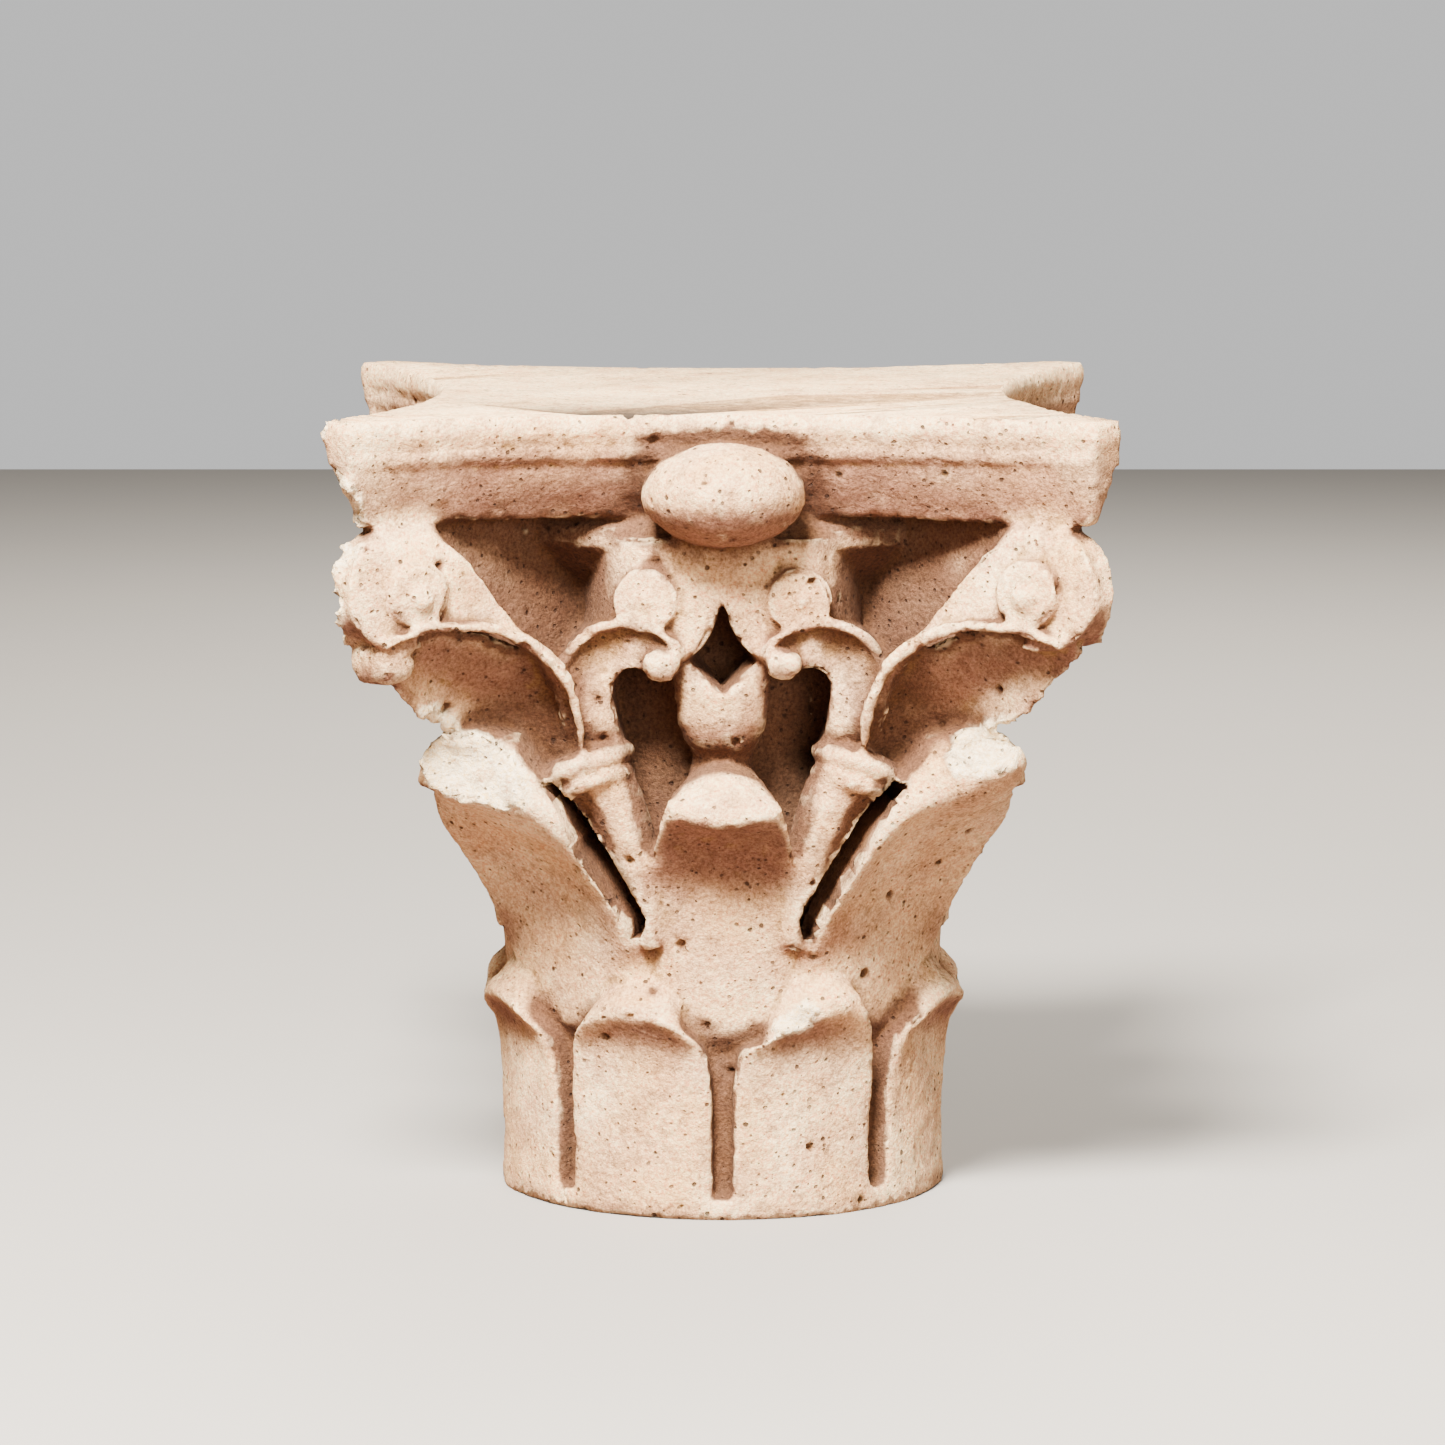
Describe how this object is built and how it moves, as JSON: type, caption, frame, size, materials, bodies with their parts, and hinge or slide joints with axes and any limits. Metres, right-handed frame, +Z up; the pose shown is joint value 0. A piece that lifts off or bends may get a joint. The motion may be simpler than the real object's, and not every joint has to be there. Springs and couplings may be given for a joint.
{
  "type": "corinthian capital",
  "caption": "Worn stone column capital with two rows of plain leaves, corner volutes, small scrolls and a hollow-sided moulded abacus with central bosses.",
  "frame": {"origin": "centre of the round lower bed, on the plane that the capital stands on", "axes": "+Z up along the column's axis, -Y the front face, +X to the right"},
  "size_m": [0.4499, 0.4498, 0.471],
  "materials": {
    "pale_stone": "matt weathered pale limestone, cream with pink-brown shade and ochre stains, pitted and chipped"
  },
  "bodies": {
    "root": {"capital": "pale_stone"}
  },
  "joints": []
}
